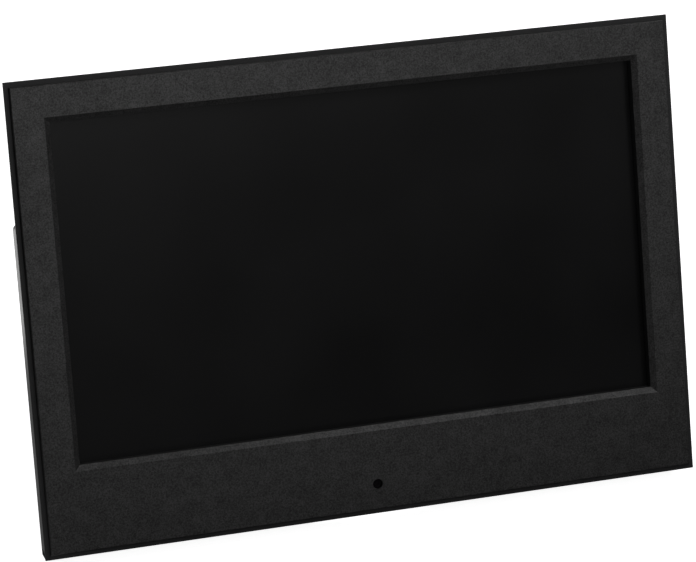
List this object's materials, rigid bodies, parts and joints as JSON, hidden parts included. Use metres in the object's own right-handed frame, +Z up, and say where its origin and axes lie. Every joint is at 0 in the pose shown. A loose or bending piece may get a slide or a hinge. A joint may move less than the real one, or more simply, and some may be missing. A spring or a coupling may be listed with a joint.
{
  "type": "digital photo frame",
  "caption": "Desktop digital photo frame with a wide black bezel, a recessed landscape screen, a stepped rear housing and a folding leg it leans back on.",
  "frame": {"origin": "on the table, at the middle of the whole object's footprint with the leg open", "axes": "+X to the right seen from the front, +Y to the back, +Z up; the panel leans back 13.8 degrees about X"},
  "size_m": [0.253, 0.069, 0.1735],
  "materials": {
    "textured_black": "fine spark-textured ABS",
    "smooth_black": "smooth satin ABS",
    "housing_black": "fine grained ABS",
    "key_black": "satin ABS",
    "screen_black": "anti-glare film over dark glass",
    "lens_smoke": "polished smoked polycarbonate",
    "steel": "zinc plated",
    "screw_steel": "black oxide",
    "rubber_black": "matt",
    "foam_black": "closed-cell foam",
    "board_green": "solder mask",
    "chip_black": "moulded epoxy",
    "can_aluminium": "brushed can",
    "connector_ivory": "nylon",
    "acrylic_clear": "polished acrylic",
    "sheet_white": "diffuser film",
    "flat_lead": "polyester flat cable",
    "lead_red": "PVC sleeve",
    "speaker_black": "pressed steel and paper"
  },
  "bodies": {
    "casing": {"front_plate": "textured_black", "frame_base": "smooth_black", "rear_cover": "housing_black", "rear_screws": "screw_steel", "rubber_feet": "rubber_black", "screen_gasket": "foam_black", "lcd_metal_frame": "steel", "lcd_glass": "screen_black", "lcd_mid_frame": "sheet_white", "lcd_diffuser": "sheet_white", "lcd_light_guide": "acrylic_clear", "lcd_led_bar": "connector_ivory", "lcd_driver_board": "board_green", "lcd_back_plate": "steel", "lcd_brackets": "steel", "bracket_screws": "steel", "lcd_ribbon": "flat_lead", "main_board": "board_green", "board_chips": "chip_black", "board_capacitors": "can_aluminium", "board_sockets": "connector_ivory", "board_screws": "steel", "cell_holder": "connector_ivory", "clock_cell": "steel", "sd_socket": "steel", "usb_socket": "steel", "mini_usb_socket": "steel", "earphone_jack": "chip_black", "dc_jack": "chip_black", "key_board": "board_green", "key_switches": "chip_black", "key_board_screws": "steel", "key_ribbon": "flat_lead", "ir_board": "board_green", "ir_receiver": "lens_smoke", "ir_lens": "lens_smoke", "sensor_lead": "lead_red", "speaker_left": "speaker_black", "speaker_right": "speaker_black", "speaker_gaskets": "foam_black", "speaker_leads": "lead_red", "hinge_pin": "steel", "hinge_clip": "steel", "friction_washers": "steel", "hinge_brackets": "steel", "hinge_screws": "steel"},
    "leg": {"stand_leg": "housing_black", "stand_foot_pad": "rubber_black"},
    "power_key": {"key_power": "key_black"},
    "menu_key": {"key_menu": "key_black"},
    "exit_key": {"key_exit": "key_black"},
    "up_key": {"key_up": "key_black"},
    "down_key": {"key_down": "key_black"},
    "left_key": {"key_left": "key_black"},
    "right_key": {"key_right": "key_black"},
    "enter_key": {"key_enter": "key_black"}
  },
  "joints": [
    {"name": "stand_hinge", "type": "hinge", "parent": "casing", "child": "leg", "pos_m": [0, 0.00761, 0.11046], "axis": [1, 0, 0], "range_deg": [-26.3, 0]},
    {"name": "power_press", "type": "slide", "parent": "casing", "child": "power_key", "axis": [0, -0.9711, 0.2385], "range_m": [0, 0.0006], "stiffness_N_per_m": 2500, "springref_m": -0.0002},
    {"name": "menu_press", "type": "slide", "parent": "casing", "child": "menu_key", "axis": [0, -0.9711, 0.2385], "range_m": [0, 0.0006], "stiffness_N_per_m": 2500, "springref_m": -0.0002},
    {"name": "exit_press", "type": "slide", "parent": "casing", "child": "exit_key", "axis": [0, -0.9711, 0.2385], "range_m": [0, 0.0006], "stiffness_N_per_m": 2500, "springref_m": -0.0002},
    {"name": "up_press", "type": "slide", "parent": "casing", "child": "up_key", "axis": [0, -0.9711, 0.2385], "range_m": [0, 0.0006], "stiffness_N_per_m": 2500, "springref_m": -0.0002},
    {"name": "down_press", "type": "slide", "parent": "casing", "child": "down_key", "axis": [0, -0.9711, 0.2385], "range_m": [0, 0.0006], "stiffness_N_per_m": 2500, "springref_m": -0.0002},
    {"name": "left_press", "type": "slide", "parent": "casing", "child": "left_key", "axis": [0, -0.9711, 0.2385], "range_m": [0, 0.0006], "stiffness_N_per_m": 2500, "springref_m": -0.0002},
    {"name": "right_press", "type": "slide", "parent": "casing", "child": "right_key", "axis": [0, -0.9711, 0.2385], "range_m": [0, 0.0006], "stiffness_N_per_m": 2500, "springref_m": -0.0002},
    {"name": "enter_press", "type": "slide", "parent": "casing", "child": "enter_key", "axis": [0, -0.9711, 0.2385], "range_m": [0, 0.0006], "stiffness_N_per_m": 2500, "springref_m": -0.0002}
  ]
}
